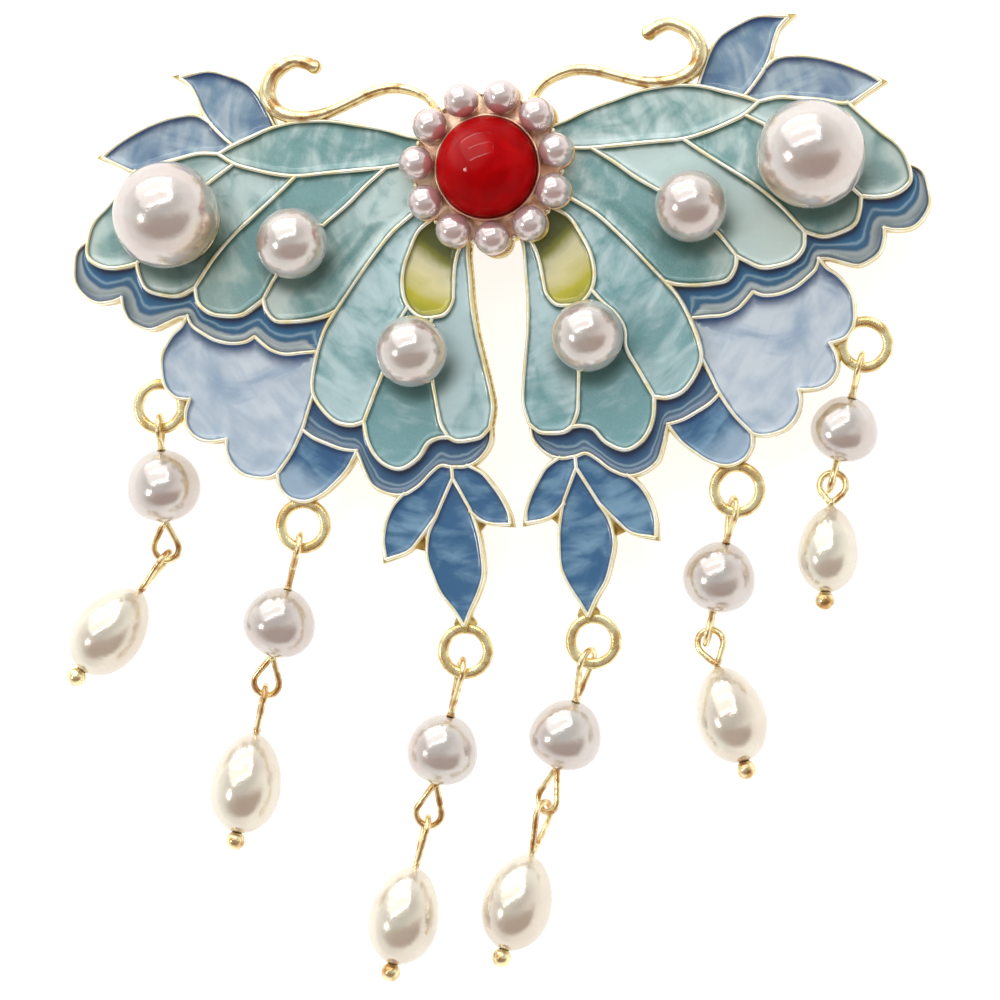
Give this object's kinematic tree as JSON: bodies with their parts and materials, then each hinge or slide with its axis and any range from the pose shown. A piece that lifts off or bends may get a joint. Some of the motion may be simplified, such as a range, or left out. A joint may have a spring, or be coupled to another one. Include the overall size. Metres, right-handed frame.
{
  "type": "butterfly hairpin with hanging pearl strands",
  "caption": "Butterfly hairpin of gilt metal and enamel with a red stone and set pearls; pearl strands hang from its lower edge and a plain fork behind holds it in the hair.",
  "frame": {"origin": "on the surface that the hairpin lies on, under the middle of the flower, at the flat underside of the fork's pad", "axes": "+X across the wings to the right as seen from the front, +Y from the tails to the feelers, +Z out of the enamelled face"},
  "size_m": [0.0763, 0.0782, 0.0142],
  "materials": {
    "gold": "polished pale gold plate",
    "fork_gold": "polished pale gold plate",
    "red_stone": "polished deep red stone",
    "enamel_mint": "glossy pearly pale green enamel",
    "enamel_teal": "glossy green enamel, paler in the middle",
    "enamel_lime": "glossy yellow green enamel",
    "enamel_navy": "glossy dark blue enamel, grey blue towards its rim",
    "enamel_sky": "glossy pearly pale blue enamel",
    "enamel_leaf": "glossy grey blue enamel",
    "enamel_blue": "glossy deep blue enamel",
    "pearl": "nacre with a soft lustre",
    "seed_pearl": "nacre with a soft lustre",
    "drop_pearl": "cream nacre with a soft lustre"
  },
  "bodies": {
    "root": {"frame": "gold", "hair_fork": "fork_gold", "cabochon": "red_stone", "leaves_enamel_left": "enamel_leaf", "forewing_enamel_left": "enamel_mint", "hindwing_enamel_left": "enamel_teal", "lime_enamel_left": "enamel_lime", "border_enamel_left": "enamel_navy", "sky_enamel_left": "enamel_sky", "tail_enamel_left": "enamel_blue", "leaves_enamel_right": "enamel_leaf", "forewing_enamel_right": "enamel_mint", "hindwing_enamel_right": "enamel_teal", "lime_enamel_right": "enamel_lime", "border_enamel_right": "enamel_navy", "sky_enamel_right": "enamel_sky", "tail_enamel_right": "enamel_blue", "big_pearl_left": "pearl", "upper_pearl_left": "pearl", "lower_pearl_left": "pearl", "big_pearl_right": "pearl", "upper_pearl_right": "pearl", "lower_pearl_right": "pearl", "seed_pearl_1": "seed_pearl", "seed_pearl_2": "seed_pearl", "seed_pearl_3": "seed_pearl", "seed_pearl_4": "seed_pearl", "seed_pearl_5": "seed_pearl", "seed_pearl_6": "seed_pearl", "seed_pearl_7": "seed_pearl", "seed_pearl_8": "seed_pearl", "seed_pearl_9": "seed_pearl", "seed_pearl_10": "seed_pearl", "seed_pearl_11": "seed_pearl", "eye_pin_1": "gold", "eye_pin_2": "gold", "eye_pin_3": "gold", "eye_pin_4": "gold", "eye_pin_5": "gold", "eye_pin_6": "gold", "round_pearl_1": "pearl", "round_pearl_2": "pearl", "round_pearl_3": "pearl", "round_pearl_4": "pearl", "round_pearl_5": "pearl", "round_pearl_6": "pearl", "head_pin_1": "gold", "head_pin_2": "gold", "head_pin_3": "gold", "head_pin_4": "gold", "head_pin_5": "gold", "head_pin_6": "gold", "drop_pearl_1": "drop_pearl", "drop_pearl_2": "drop_pearl", "drop_pearl_3": "drop_pearl", "drop_pearl_4": "drop_pearl", "drop_pearl_5": "drop_pearl", "drop_pearl_6": "drop_pearl"}
  },
  "joints": []
}
